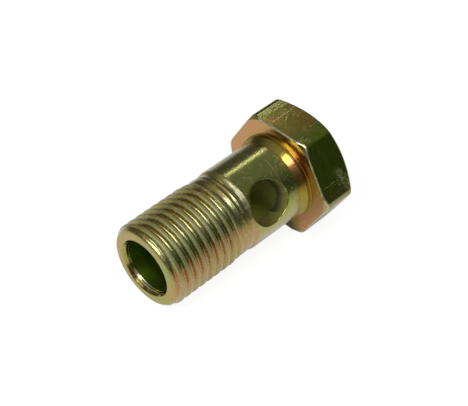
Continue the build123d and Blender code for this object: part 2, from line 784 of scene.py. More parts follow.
@dataclass
class FluidBore:
    """Blind bore from the threaded end: the stepped mouth with the end face round it, and the drill's cone.

    Attributes:
        sizes: Sizes of the bolt.
        shank: The drilled shank, which holds the bore's middle.
        thread: The thread, which the end face meets.
        lip_ring: Station of the last ring on the lead-in cone.
        lip_rounding: Rounding of the end face's outer corner.
        mouth_rounding: Rounding of the countersink's edge on the end face.
        cone_radius: Radius where the countersink's cone ends.
        cone_rounding: Rounding of the corner there.
        throat: The worn step behind it, with its radii counted from the bore's wall.
        throat_start: Station on the cone where the throat's finish starts.
        bore_start: Station where the bore's cylinder starts.
        bore_rounding: Rounding of the corner there.
        drill_rounding: Rounding of the corner between the bore and the drill's cone.
        rounding_limit: Share of a side that a rounding takes at most.
    """

    sizes: BoltSizes
    shank: DrilledShank
    thread: Thread
    lip_ring: float = 0.28
    lip_rounding: float = 0.3
    mouth_rounding: float = 0.1
    cone_radius: float = 4.58
    cone_rounding: float = 0.06
    throat: tuple[Corner, ...] = (Corner(0.88, 0.27, 0.03), Corner(0.96, 0.22, 0.03), Corner(1.1, 0.215))
    throat_start: float = 0.5
    bore_start: float = 3.0
    bore_rounding: float = 0.3
    drill_rounding: float = 0.1
    rounding_limit: float = 0.98

    def build(self, bm: BMesh) -> None:
        """Spins the mouth and the end of the bore.

        Args:
            bm: Mesh that gets them.
        """
        sizes = self.sizes
        bore_radius = sizes.bore_diameter / 2
        mouth_radius = sizes.mouth_diameter / 2
        face_radius = mouth_radius + self.mouth_rounding
        worn = [Corner(c.station, bore_radius + c.radius, c.rounding) for c in self.throat]
        throat_end = Corner(worn[-1].station, worn[-1].radius)
        cone_share = self.throat_start / sizes.mouth_cone_length
        split = Corner(self.throat_start, mouth_radius + (self.cone_radius - mouth_radius) * cone_share)
        corners = {
            Zone.BORE: (
                Corner(self.shank.low, bore_radius),
                Corner(self.bore_start, bore_radius, self.bore_rounding),
                throat_end,
            ),
            Zone.THROAT: (
                throat_end,
                *worn[-2::-1],
                Corner(sizes.mouth_cone_length, self.cone_radius, self.cone_rounding),
                split,
            ),
            Zone.MOUTH: (
                split,
                Corner(0, mouth_radius, self.mouth_rounding * self.rounding_limit),
                Corner(0, face_radius),
            ),
            Zone.HOLE: (
                Corner(self.shank.bore_high, bore_radius),
                Corner(sizes.bore_end, bore_radius, self.drill_rounding),
                Corner(sizes.bore_tip, 0),
            ),
            Zone.LIP: (
                Corner(0, face_radius),
                Corner(0, sizes.lip_radius, self.lip_rounding),
                Corner(self.lip_ring, self.thread.lead_in(self.lip_ring)),
            ),
        }
        for zone, profile in corners.items():
            join(bm, Profile(profile).spin(), zone)


@dataclass
class HexagonHead:
    """Collar and hexagon head, cut from one turned blank by the six flats.

    Attributes:
        sizes: Sizes of the bolt.
        shank: The drilled shank, which the blank starts from.
        spare: How far the blank stands out past the hexagon's corners.
        collar_rounding: How far the corners of the collar's cone are rounded back.
        seat_fillet: The same for the corner between the collar and the seat.
        corner_radius: Radius of the rounding between two flats.
        corner_cuts: Planes that make such a rounding.
        edge_rounding: How far the edges round the sides are rounded back.
        edge_segments: Faces across a rounded edge.
        face_rounding: How far the outer face's circle is rounded back.
        side_limit: A face leaning less than this towards the axis is a side of the hexagon.
        level_limit: A face leaning more than this towards the axis lies across it.
        seat_limit: The same for the faces of the seat once its edges are rounded.
    """

    sizes: BoltSizes
    shank: DrilledShank
    spare: float = 0.3
    collar_rounding: float = 0.18
    seat_fillet: float = 0.1
    corner_radius: float = 1.6
    corner_cuts: int = 5
    edge_rounding: float = 0.22
    edge_segments: int = 4
    face_rounding: float = 0.25
    side_limit: float = 0.1
    level_limit: float = 0.95
    seat_limit: float = 0.99

    def blank(self) -> Profile:
        """The turned blank, from the shank to the middle of the outer face."""
        sizes = self.sizes
        shank_radius = sizes.shank_diameter / 2
        collar_radius = sizes.collar_diameter / 2
        seat_radius = sizes.hex_corner_radius - sizes.seat_corner_cut
        top_radius = sizes.hex_corner_radius - sizes.top_corner_cut
        blank_radius = sizes.hex_corner_radius + self.spare
        return Profile(
            (
                Corner(self.shank.high, shank_radius),
                Corner(sizes.collar_start, shank_radius, self.collar_rounding),
                Corner(sizes.collar_band_start, collar_radius, self.collar_rounding),
                Corner(sizes.head_seat, collar_radius, self.seat_fillet),
                Corner(sizes.head_seat, seat_radius),
                Corner(sizes.head_seat + (blank_radius - seat_radius) * sizes.chamfer_rise, blank_radius),
                Corner(sizes.head_top - (blank_radius - top_radius) * sizes.chamfer_rise, blank_radius),
                Corner(sizes.head_top, top_radius, self.face_rounding),
                Corner(sizes.head_top, 0),
            )
        )

    def cut_side(self, bm: BMesh, angle: float, distance: float) -> None:
        """Cuts a plane side and closes it with one face.

        Args:
            bm: Mesh of the blank alone.
            angle: Direction that the side faces, in degrees from the upper flat.
            distance: Its distance from the axis.
        """
        outward = radial(angle)
        cut = bmesh.ops.bisect_plane(
            bm,
            geom=whole(bm),
            plane_co=outward * distance,
            plane_no=outward,
            dist=CUT_DISTANCE,
            clear_outer=True,
        )["geom_cut"]
        bmesh.ops.contextual_create(bm, geom=[g for g in cut if isinstance(g, BMEdge)])

    def cut_hexagon(self, bm: BMesh) -> None:
        """Cuts the six flats, then rounds each corner by planes that touch its arc.

        Args:
            bm: Mesh of the blank alone.
        """
        half_turn = SIDE_TURN / 2
        arc_centre = (self.sizes.half_flats - self.corner_radius) / math.cos(math.radians(half_turn))
        for flat in range(SIDES):
            self.cut_side(bm, flat * SIDE_TURN, self.sizes.half_flats)
        for flat in range(SIDES):
            for cut in range(self.corner_cuts):
                turn = SIDE_TURN * (cut + 1) / (self.corner_cuts + 1)
                reach = arc_centre * math.cos(math.radians(turn - half_turn)) + self.corner_radius
                self.cut_side(bm, flat * SIDE_TURN + turn, reach)

    def round_edges(self, bm: BMesh) -> None:
        """Rounds the edges round the sides, and keeps the seat's turned edge sharp between them.

        Points of the turned edges that lie close to a side are drawn onto it first. The seat's faces that
        the rounding leaves bent are split, and those of them that lean count as rounded edge.

        Args:
            bm: Mesh of the cut head.
        """
        rims = self.side_rims(bm)
        rim_points = {v for e in rims for v in e.verts}
        onto_rim = {
            e.other_vert(v): v
            for v in bm.verts
            for e in v.link_edges
            if v in rim_points
            and e.calc_length() < self.edge_rounding
            and e.other_vert(v) not in rim_points
        }
        bmesh.ops.weld_verts(bm, targetmap=onto_rim)
        bmesh.ops.bevel(
            bm,
            geom=self.side_rims(bm),
            offset=self.edge_rounding,
            offset_type="OFFSET",
            segments=self.edge_segments,
            profile=ARC_PROFILE,
            affect="EDGES",
            material=Zone.EDGE.value,
        )
        seat = [f for f in bm.faces if f.material_index == Zone.SEAT.value]
        bmesh.ops.connect_verts_nonplanar(bm, angle_limit=BEND_LIMIT, faces=seat)
        bm.normal_update()
        for face in bm.faces:
            if face.material_index == Zone.SEAT.value and abs(face.normal.z) < self.seat_limit:
                face.material_index = Zone.EDGE.value
            if face.material_index == Zone.EDGE.value and self.is_far(face.calc_center_median()):
                face.material_index = Zone.CHAMFER.value
        turned_edge = {Zone.SEAT.value, Zone.CHAMFER.value}
        for edge in bm.edges:
            edge.smooth = {f.material_index for f in edge.link_faces} != turned_edge

    @staticmethod
    def side_rims(bm: BMesh) -> list[BMEdge]:
        """The edges between the head's sides and its turned surfaces."""
        return [
            e
            for e in bm.edges
            if e.is_manifold and sum(f.material_index == Zone.FLAT.value for f in e.link_faces) == 1
        ]

    def zone_of(self, centre: Vector, normal: Vector) -> Zone:
        """Finish of a face of the head, from its middle and its normal."""
        if centre.z < self.sizes.collar_start - self.collar_rounding:
            return Zone.TURNED
        if centre.z < self.sizes.head_seat - MERGE_DISTANCE:
            return Zone.COLLAR
        if abs(normal.z) < self.side_limit:
            return Zone.FLAT
        if abs(normal.z) < self.level_limit:
            return Zone.CHAMFER
        return Zone.FACE if self.is_far(centre) else Zone.SEAT

    def is_far(self, point: Vector) -> bool:
        """Whether a point of the head lies nearer its outer face than its seat."""
        return point.z > self.sizes.head_seat + self.sizes.head_height / 2

    def build(self, bm: BMesh) -> None:
        """Builds the collar and the head.

        Args:
            bm: Mesh that gets them.
        """
        head = self.blank().spin()
        self.cut_hexagon(head)
        bmesh.ops.recalc_face_normals(head, faces=head.faces[:])
        for face in head.faces:
            face.material_index = self.zone_of(face.calc_center_median(), face.normal).value
        self.round_edges(head)
        join(bm, head, Zone.TURNED)


# ---------------------------------------------------------------- shader building

CREST_RADIUS = BoltSizes().thread_radius
Number = Union[int, float, "Value"]
Colour = tuple[float, float, float]


class Value:
    """A number socket of a shader. An expression on it adds its Math nodes."""

    def __init__(self, graph: "Graph", socket: bpy.types.NodeSocket) -> None:
        """Wraps a socket of a graph."""
        self.graph = graph
        self.socket = socket

    def __add__(self, other: Number) -> "Value":
        """This plus another."""
        return self.graph.math("ADD", self, other)

    __radd__ = __add__

    def __sub__(self, other: Number) -> "Value":
        """This less another."""
        return self.graph.math("SUBTRACT", self, other)

    def __rsub__(self, other: Number) -> "Value":
        """Another less this."""
        return self.graph.math("SUBTRACT", other, self)

    def __mul__(self, other: Number) -> "Value":
        """This times another."""
        return self.graph.math("MULTIPLY", self, other)

    __rmul__ = __mul__

    def __truediv__(self, other: Number) -> "Value":
        """This divided by another."""
        return self.graph.math("DIVIDE", self, other)

    def __rtruediv__(self, other: Number) -> "Value":
        """Another divided by this."""
        return self.graph.math("DIVIDE", other, self)

    def __pow__(self, other: Number) -> "Value":
        """This to a power."""
        return self.graph.math("POWER", self, other)


@dataclass(frozen=True)
class Noise:
    """A noise pattern.

    Attributes:
        scale: About how many of its features there are for each unit of length.
        detail: Its octaves.
        roughness: Weight of the finer octaves.
    """

    scale: float
    detail: float = 2.0
    roughness: float = 0.5


class Graph:
    """The node tree of one material or world."""

    def __init__(self, tree: bpy.types.NodeTree) -> None:
        """Starts an empty tree."""
        self.tree = tree
        tree.nodes.clear()

    @staticmethod
    def socket(sockets: Iterable[bpy.types.NodeSocket], name: str) -> bpy.types.NodeSocket:
        """The enabled socket of that name."""
        return next(s for s in sockets if s.name == name and s.enabled)

    def add(
        self, kind: str, settings: Optional[dict[str, Any]] = None, sockets: Optional[dict[str, Any]] = None
    ) -> bpy.types.Node:
        """Adds a node.

        Args:
            kind: Node type.
            settings: Its properties, set first. "stops" gives a ramp's (position, colour) pairs.
            sockets: Values or links of its inputs, by name.

        Returns:
            The node.
        """
        node = self.tree.nodes.new(kind)
        for name, setting in (settings or {}).items():
            if name == "stops":
                self.set_stops(node.color_ramp, setting)
            else:
                setattr(node, name, setting)
        for name, value in (sockets or {}).items():
            target = self.socket(node.inputs, name)
            if isinstance(value, Value):
                value = value.socket
            if isinstance(value, bpy.types.NodeSocket):
                self.tree.links.new(value, target)
            elif target.type == "RGBA" and len(value) == 3:
                target.default_value = (*value, 1)
            else:
                target.default_value = value
        return node

    @staticmethod
    def set_stops(ramp: bpy.types.ColorRamp, stops: Sequence[tuple[float, Sequence[float]]]) -> None:
        """Gives a ramp its stops.

        Args:
            ramp: The ramp.
            stops: Positions and colours of three or four numbers, from low to high.
        """
        while len(ramp.elements) < len(stops):
            ramp.elements.new(1)
        for element, (position, colour) in zip(ramp.elements, stops):
            element.position = position
            element.color = (*colour, 1)[:4]

    def output(self, node: bpy.types.Node, name: str) -> Value:
        """A node's output, wrapped."""
        return Value(self, self.socket(node.outputs, name))

    def math(self, operation: str, *operands: Number, clamp: bool = False) -> Value:
        """Adds a Math node.

        Args:
            operation: Its operation.
            operands: Its numbers, wrapped or plain.
            clamp: Whether the result is kept from 0 to 1.

        Returns:
            Its result.
        """
        node = self.add("ShaderNodeMath", {"operation": operation, "use_clamp": clamp})
        for target, operand in zip(node.inputs, operands):
            if isinstance(operand, Value):
                self.tree.links.new(operand.socket, target)
            else:
                target.default_value = operand
        return Value(self, node.outputs[0])

    def ramp(self, value: Value, low: float, high: float) -> Value:
        """A smooth step of a value.

        Args:
            value: The value.
            low: Where the step starts, from 0.
            high: Where it ends, at 1. Below low, it falls instead.

        Returns:
            The step, from 0 to 1.
        """
        node = self.add(
            "ShaderNodeMapRange",
            {"interpolation_type": "SMOOTHSTEP"},
            {"Value": value, "From Min": low, "From Max": high},
        )
        return self.output(node, "Result")

    def highest(self, values: Sequence[Value]) -> Value:
        """The highest of some values."""
        highest = values[0]
        for value in values[1:]:
            highest = self.math("MAXIMUM", highest, value)
        return highest

    def mix(self, factor: Number, first: Any, second: Any) -> Value:
        """Mixes two colours.

        Args:
            factor: Share of the second.
            first: A colour, plain or wrapped.
            second: Another.

        Returns:
            The mixed colour.
        """
        node = self.add(
            "ShaderNodeMix",
            {"data_type": "RGBA", "blend_type": "MIX"},
            {"Factor": factor, "A": first, "B": second},
        )
        return self.output(node, "Result")

    def curve(self, share: Value, points: Sequence[tuple[float, Sequence[float]]]) -> list[Value]:
        """Reads four numbers off straight lines between points.

        Args:
            share: Where they are read, from 0 to 1.
            points: From low to high, each a position and four numbers from 0 to 1.

        Returns:
            The four numbers.
        """
        ramp = self.add("ShaderNodeValToRGB", {"stops": points}, {"Fac": share})
        split = self.add("ShaderNodeSeparateColor", None, {"Color": self.output(ramp, "Color")})
        return [*(self.output(split, name) for name in ("Red", "Green", "Blue")), self.output(ramp, "Alpha")]

    def combine(self, x: Number, y: Number, z: Number) -> Value:
        """A vector of three numbers."""
        node = self.add("ShaderNodeCombineXYZ", None, {"X": x, "Y": y, "Z": z})
        return self.output(node, "Vector")

    def parts(self, vector: Value, axes: str = "XYZ") -> list[Value]:
        """The parts of a vector along some of its axes."""
        split = self.add("ShaderNodeSeparateXYZ", None, {"Vector": vector})
        return [self.output(split, axis) for axis in axes]

    def stretched(self, vector: Value, angle: float, scale: tuple[float, float, float]) -> Value:
        """Turns a vector in its own plane, then stretches it.

        Args:
            vector: The vector.
            angle: Turn about its third axis, in degrees.
            scale: Scale of each axis after the turn.

        Returns:
            The new vector.
        """
        rotation = (0, 0, math.radians(angle))
        for placing in ({"Rotation": rotation}, {"Scale": scale}):
            vector = self.output(self.add("ShaderNodeMapping", None, {"Vector": vector, **placing}), "Vector")
        return vector

    def noise(self, vector: Value, noise: Noise) -> Value:
        """Adds a noise texture.

        Args:
            vector: Where it is read.
            noise: Its pattern.

        Returns:
            The noise, from 0 to 1 and 0.5 on average.
        """
        sockets = {"Scale": noise.scale, "Detail": noise.detail, "Roughness": noise.roughness}
        return self.output(self.add("ShaderNodeTexNoise", None, {"Vector": vector, **sockets}), "Fac")


@dataclass(frozen=True)
class BoltCoordinates:
    """Coordinates in a shader on the bolt's own axes.

    Attributes:
        vector: All three, in millimetres.
        station: Distance along the axis from the mouth, in millimetres.
        radius: Distance from the axis, in millimetres.
        turn: Direction from the axis, in degrees from the upper flat, -180 to 180.
    """

    vector: Value
    station: Value
    radius: Value
    turn: Value

    @classmethod
    def read(cls, graph: Graph, sizes: BoltSizes) -> "BoltCoordinates":
        """Adds the nodes that turn object coordinates into the bolt's own.

        Args:
            graph: Material under work.
            sizes: Sizes of the bolt, which give its place.

        Returns:
            The coordinates.
        """
        place = sizes.placement()
        objects = graph.add("ShaderNodeTexCoord")
        mapping = graph.add(
            "ShaderNodeMapping",
            {"vector_type": "TEXTURE"},
            {
                "Vector": graph.output(objects, "Object"),
                "Location": place.to_translation(),
                "Rotation": place.to_euler(),
                "Scale": (MM, MM, MM),
            },
        )
        vector = graph.output(mapping, "Vector")
        x, y, station = graph.parts(vector)
        radius = (x * x + y * y) ** 0.5
        turn = graph.math("ARCTAN2", y, x) * math.degrees(1)
        return cls(vector, station, radius, turn)

    def unrolled(self, graph: Graph) -> Value:
        """The surface laid flat: millimetres round the axis, millimetres along it, and the radius."""
        return graph.combine(self.turn * ARC, self.station, self.radius)


# ---------------------------------------------------------------- finishes


# Colour of the film by its hue: green where it is thin, then olive, gold, amber and copper.
FILM: tuple[tuple[float, Colour], ...] = (
    (0.0, (0.24, 0.40, 0.02)),
    (0.25, (0.37, 0.41, 0.06)),
    (0.5, (0.47, 0.41, 0.08)),
    (0.75, (0.54, 0.37, 0.06)),
    (1.0, (0.68, 0.33, 0.13)),
)
# PALE_ZINC is also what the film curve mixes in, partly as a painted highlight.
PALE_ZINC: Colour = (0.56, 0.52, 0.34)  # thin film that lets the zinc show
BARE_ZINC: Colour = (0.84, 0.82, 0.72)  # rubbed edges
RUBBED_FILM: Colour = (0.50, 0.52, 0.22)  # scuffed film
DEEP_FILM: Colour = (0.16, 0.14, 0.03)  # film between the crystals
# BLACK is what the film is darkened towards, for its tone and its painted shade.
BLACK: Colour = (0.0, 0.0, 0.0)


@dataclass(frozen=True)
class Patterns:
    """Patterns of the film and its wear that all finishes share.

    A pair of numbers is where a smooth step starts and ends.

    Attributes:
        wobble: Noise that shifts the film's colours round the bolt.
        wobble_turn: How far it does, in degrees from its lowest to its highest.
        patches: Noise of the patches of colour.
        patch_weight: Its weight in the hue.
        streaks: Noise of the streaks of colour, on the stretched surface.
        streak_turn: Turn of the surface before it is stretched for them, in degrees.
        streak_scale: How it is stretched.
        streak_weight: Weight of the streaks in the hue.
        crystals: Noise of the zinc's crystals.
        crystal_gaps: Step from the crystals down to the deep film between them.
        crystal_roughness: Its weight in the roughness.
        dents: Noise of the shallow unevenness.
        lines: Directions of the fine scratches in degrees, each with its rows for a millimetre.
        line_reach: Noise of how far such a scratch reaches in its row.
        line_scale: Its features for each millimetre of a row.
        line_offset: How far it is moved from row to row.
        line_width: Step across a fine scratch, as shares of its row.
        line_ends: Step at its ends, in the noise.
        breaks: Noise that breaks up the strokes.
        break_step: Its step from a gap to the stroke.
        stroke_core: Share of a stroke's width with its full strength.
        rubbing: Noise whose peaks are scuffed.
        scuff_step: Its step to the scuffs, on a finish without any.
        scuff_gain: How much lower the step is for a fully scuffed finish.
        top_reach: Distance from the head's far end within which it is scuffed more, in millimetres.
        crest_band: Depths below the crests between which their wear starts and is full, in millimetres.
        crest_stray: How far the dents shift this band, in millimetres.
        worn_scuffs, worn_crest: How far scuffs and worn crests take the film's colour off.
        rough_scuffs, rough_scratches, rough_crest: What they, and the scratches, add to the roughness.
        ring_scale: Features of the turning marks for each degree, millimetre of station and of radius.
        rings: Noise of the turning marks, on the surface scaled so.
        scratch_depth: Depth of a scratch, in the bump.
        scuff_height: Height of a scuff's grain, in the bump.
        bump_strength: Strength of the bump.
        bump_distance: Height of the bump for each unit, in metres.
    """

    wobble: Noise = Noise(0.5)
    wobble_turn: float = 30.0
    patches: Noise = Noise(0.35, 3.0, 0.55)
    patch_weight: float = 3.0
    streaks: Noise = Noise(1.0)
    streak_turn: float = 20.0
    streak_scale: tuple[float, float, float] = (0.5, 1.6, 0.3)
    streak_weight: float = 2.0
    crystals: Noise = Noise(7.0, 3.0, 0.6)
    crystal_gaps: tuple[float, float] = (0.6, 0.3)
    crystal_roughness: float = 0.25
    dents: Noise = Noise(1.5, 1.0, 0.4)
    lines: tuple[tuple[float, float], ...] = ((24.0, 2.6), (68.0, 2.1), (-38.0, 3.1), (4.0, 2.3))
    line_reach: Noise = Noise(1.0, 0.0)
    line_scale: float = 0.45
    line_offset: float = 3.7
    line_width: tuple[float, float] = (0.2, 0.05)
    line_ends: tuple[float, float] = (0.66, 0.74)
    breaks: Noise = Noise(2.5, 3.0, 0.7)
    break_step: tuple[float, float] = (0.35, 0.6)
    stroke_core: float = 0.3
    rubbing: Noise = Noise(1.3, 4.0, 0.65)
    scuff_step: tuple[float, float] = (0.66, 0.8)
    scuff_gain: float = 0.2
    top_reach: float = 2.5
    crest_band: tuple[float, float] = (0.2, 0.05)
    crest_stray: float = 0.1
    worn_scuffs: float = 0.5
    worn_crest: float = 0.3
    rough_scuffs: float = 0.12
    rough_scratches: float = 0.2
    rough_crest: float = 0.4
    ring_scale: tuple[float, float, float] = (0.01, 10.0, 10.0)
    rings: Noise = Noise(1.0, 3.0)
    scratch_depth: float = 0.4
    scuff_height: float = 0.5
    bump_strength: float = 0.5
    bump_distance: float = 0.00004


PATTERNS = Patterns()


@dataclass(frozen=True)
class Film:
    """The film in one direction from the bolt's axis.

    Attributes:
        turn: The direction, in degrees from the upper flat.
        hue: Its hue, a position in FILM.
        pale_wear_and_highlight: How much the zinc shows through it: partly wear, and partly a painted
            highlight in the directions where the lamps' highlights fall.
        sinking: Change of the hue for each millimetre below the crests.
        shade: Painted shade: how much darker the film is in this direction.
    """

    turn: float
    hue: float
    pale_wear_and_highlight: float = 0.0
    sinking: float = 0.0
    shade: float = 0.0


@dataclass(frozen=True)
class Stroke:
    """A scratch from one point of the unrolled surface to another.

    Attributes:
        start: Its start, as degrees from the upper flat and the station.
        end: Its end.
        width: Its width, in millimetres.
        strength: How strong it is. A wide stroke is a scuffed patch.
    """

    start: tuple[float, float]
    end: tuple[float, float]
    width: float = 0.12
    strength: float = 1.0

    def mask(self, graph: Graph, at: BoltCoordinates) -> Value:
        """How much of the scratch is at a point.

        Args:
            graph: Material under work.
            at: The bolt's coordinates.

        Returns:
            1 on its line, 0 beyond its width.
        """
        along = (self.end[0] - self.start[0]) * ARC, self.end[1] - self.start[1]
        length_squared = along[0] ** 2 + along[1] ** 2
        u = (at.turn - self.start[0]) * ARC
        v = at.station - self.start[1]
        share = graph.math("MULTIPLY", u * along[0] + v * along[1], 1 / length_squared, clamp=True)
        off_u, off_v = u - share * along[0], v - share * along[1]
        off_line = (off_u * off_u + off_v * off_v) ** 0.5
        broken = graph.ramp(graph.noise(at.vector, PATTERNS.breaks), *PATTERNS.break_step)
        return graph.ramp(off_line, self.width, self.width * PATTERNS.stroke_core) * (broken * self.strength)


@dataclass(frozen=True)
class Wear:
    """Grain and wear at a point of a surface, as values of its shader.

    Attributes:
        crystals: Noise of the zinc's crystals.
        dents: Noise of the shallow unevenness.
        scratches: How much of a scratch is there.
        rubbing: Noise whose peaks are scuffed.
        scuffs: How scuffed it is.
        crest: How worn it is as a crest of the thread.
    """

    crystals: Value
    dents: Value
    scratches: Value
    rubbing: Value
    scuffs: Value
    crest: Value


@dataclass(frozen=True)
class ZincFinish:
    """Yellow passivated zinc on one kind of surface.

    Attributes:
        name: Name of the material.
        round_bolt: The film round the bolt, from -180 degrees up. At 180 it is as at the start. Its shade
        by direction is painted shade, and its pale zinc is partly a painted highlight.
        hue_spread: How far patches of the film stray from its hue.
        tone: Brightness of the film.
        groove_shade: Painted shade in the thread's grooves: how much darker the film is for each millimetre
        below the crests.
        crest_wear: How much the crests are worn to a rough, pale grey.
        depth: Share of deep film between the crystals.
        roughness: Mean roughness.
        grain: Depth of the crystals, in the bump.
        tool_marks: Depth of the turning marks, in the bump.
        dents: Depth of the shallow unevenness, in the bump.
        scratches: Strength of the fine scratches.
        scuffs: Share of the surface that is scuffed.
        top_scuffs: How much larger that share is at the head's far end.
        worn_colour: Colour of scuffs and scratches.
        metallic: Share of the light that the zinc mirrors as a metal.
        specular: Strength of the reflection of what is not metal.
        gloss: Strength of the clear film's own reflection.
        coat_index: Refractive index of the clear film.
        coat_roughness: Roughness of its reflection.
        strokes: Scratches with a place of their own.
    """

    name: str
    round_bolt: tuple[Film, ...]
    hue_spread: float = 0.15
    tone: float = 1.0
    groove_shade: float = 0.0
    crest_wear: float = 0.0
    depth: float = 0.4
    roughness: float = 0.25
    grain: float = 0.3
    tool_marks: float = 0.0
    dents: float = 0.0
    scratches: float = 0.3
    scuffs: float = 0.3
    top_scuffs: float = 0.0
    worn_colour: Colour = PALE_ZINC
    metallic: float = 1.0
    specular: float = 0.2
    gloss: float = 0.6
    coat_index: float = 1.5
    coat_roughness: float = 0.2
    strokes: tuple[Stroke, ...] = ()

    def film_colour(self, graph: Graph, at: BoltCoordinates) -> Value:
        """Colour of the film, before wear.

        Args:
            graph: Material under work.
            at: The bolt's coordinates.

        Returns:
            The colour, with painted shade by direction and in the grooves, and a partly painted highlight.
        """
        wobble = (graph.noise(at.vector, PATTERNS.wobble) - 0.5) * PATTERNS.wobble_turn
        films = *self.round_bolt, replace(self.round_bolt[0], turn=180)
        points = [((f.turn + 180) / 360, (f.hue, f.pale_wear_and_highlight, f.sinking, f.shade)) for f in films]
        hue, pale_wear_and_highlight, sinking, shade = graph.curve((at.turn + wobble + 180) / 360, points)
        depth_below = CREST_RADIUS - at.radius
        patches = graph.noise(at.vector, PATTERNS.patches) - 0.5
        stretched = graph.stretched(at.unrolled(graph), PATTERNS.streak_turn, PATTERNS.streak_scale)
        streaks = graph.noise(stretched, PATTERNS.streaks) - 0.5
        stray = patches * PATTERNS.patch_weight + streaks * PATTERNS.streak_weight
        hue = hue + stray * self.hue_spread + depth_below * sinking
        ramp = graph.add("ShaderNodeValToRGB", {"stops": FILM}, {"Fac": hue})
        # Pale zinc mixed in by direction: partly wear, partly a painted highlight.
        film = graph.mix(pale_wear_and_highlight, graph.output(ramp, "Color"), PALE_ZINC)
        # Painted shade by direction and in the grooves, with the film's tone: the film is mixed towards
        # black.
        light = (1.0 - shade) * (1.0 - depth_below * self.groove_shade) * self.tone
        return graph.mix(1.0 - light, film, BLACK)

    def scratch_lines(self, graph: Graph, at: BoltCoordinates) -> Value:
        """Fine scratches in a few directions, laid in rows.

        Args:
            graph: Material under work.
            at: The bolt's coordinates.

        Returns:
            Their depth, from 0 to 1.
        """
        lines = []
        for angle, rows_per_mm in PATTERNS.lines:
            turned = graph.stretched(at.unrolled(graph), angle, (1, 1, 1))
            along, up = graph.parts(turned, "XY")
            place = up * rows_per_mm
            row = graph.math("FLOOR", place)
            across = graph.math("ABSOLUTE", place - row - 0.5)
            spot = graph.combine(along * PATTERNS.line_scale, row * PATTERNS.line_offset, angle)
            reach = graph.ramp(graph.noise(spot, PATTERNS.line_reach), *PATTERNS.line_ends)
            lines.append(graph.ramp(across, *PATTERNS.line_width) * reach)
        return graph.highest(lines)

    def wear(self, graph: Graph, at: BoltCoordinates, head_top: float) -> Wear:
        """Grain and wear of the surface.

        Args:
            graph: Material under work.
            at: The bolt's coordinates.
            head_top: Station of the head's outer face.

        Returns:
            The values.
        """
        dents = graph.noise(at.vector, PATTERNS.dents)
        lines = self.scratch_lines(graph, at) * self.scratches
        near_top = graph.ramp(at.station, head_top - PATTERNS.top_reach, head_top)
        rubbing = graph.noise(at.vector, PATTERNS.rubbing)
        rubbing = rubbing + near_top * (self.top_scuffs * PATTERNS.scuff_gain)
        scuff_step = (edge - self.scuffs * PATTERNS.scuff_gain for edge in PATTERNS.scuff_step)
        crest_band = (CREST_RADIUS - depth for depth in PATTERNS.crest_band)
        crest = graph.ramp(at.radius + dents * PATTERNS.crest_stray, *crest_band)
        return Wear(
            crystals=graph.noise(at.vector, PATTERNS.crystals),
            dents=dents,
            scratches=graph.highest([lines, *(stroke.mask(graph, at) for stroke in self.strokes)]),
            rubbing=rubbing,
            scuffs=graph.ramp(rubbing, *scuff_step),
            crest=crest * self.crest_wear,
        )

    def colour(self, graph: Graph, at: BoltCoordinates, wear: Wear) -> Value:
        """Colour of the surface.

        Args:
            graph: Material under work.
            at: The bolt's coordinates.
            wear: Its grain and wear.

        Returns:
            The colour of the film, darker between the crystals and rubbed off where it is worn.
        """
        deep = graph.ramp(wear.crystals, *PATTERNS.crystal_gaps) * self.depth
        film = graph.mix(deep, self.film_colour(graph, at), DEEP_FILM)
        rubbed = wear.scuffs * PATTERNS.worn_scuffs + wear.crest * PATTERNS.worn_crest
        return graph.mix(graph.math("ADD", wear.scratches, rubbed, clamp=True), film, self.worn_colour)

    def mattness(self, wear: Wear) -> Value:
        """Roughness of the surface, from its grain and wear."""
        grain = (wear.crystals - 0.5) * PATTERNS.crystal_roughness
        scuffs = wear.scuffs * PATTERNS.rough_scuffs
        scratches = wear.scratches * PATTERNS.rough_scratches
        crest = wear.crest * PATTERNS.rough_crest
        return grain + scuffs + scratches + crest + self.roughness

    def relief(self, graph: Graph, at: BoltCoordinates, wear: Wear) -> Value:
        """Small relief of the surface.

        Args:
            graph: Material under work.
            at: The bolt's coordinates.
            wear: Its grain and wear.

        Returns:
            The normal.
        """
        place = at.turn, at.station, at.radius
        scaled = graph.combine(*(part * scale for part, scale in zip(place, PATTERNS.ring_scale)))
        rings = graph.noise(scaled, PATTERNS.rings)
        height = wear.crystals * self.grain + rings * self.tool_marks
        height = height - wear.scratches * PATTERNS.scratch_depth
        height = height + wear.scuffs * wear.rubbing * PATTERNS.scuff_height
        height = height + wear.dents * self.dents
        strength = {"Strength": PATTERNS.bump_strength, "Distance": PATTERNS.bump_distance}
        return graph.output(graph.add("ShaderNodeBump", None, {**strength, "Height": height}), "Normal")

    def material(self, sizes: BoltSizes) -> bpy.types.Material:
        """Makes the material.

        Args:
            sizes: Sizes of the bolt, which the patterns follow.

        Returns:
            The material.
        """
        made = bpy.data.materials.new(self.name)
        made.use_nodes = True
        graph = Graph(made.node_tree)
        at = BoltCoordinates.read(graph, sizes)
        wear = self.wear(graph, at, sizes.head_top)
        surface = graph.add(
            "ShaderNodeBsdfPrincipled",
            None,
            {
                "Base Color": self.colour(graph, at, wear),
                "Metallic": self.metallic,
                "Specular IOR Level": self.specular,
                "Roughness": self.mattness(wear),
                "Coat Weight": self.gloss,
                "Coat IOR": self.coat_index,
                "Coat Roughness": self.coat_roughness,
                "Normal": self.relief(graph, at, wear),
            },
        )
        graph.add("ShaderNodeOutputMaterial", None, {"Surface": graph.output(surface, "BSDF")})
        return made


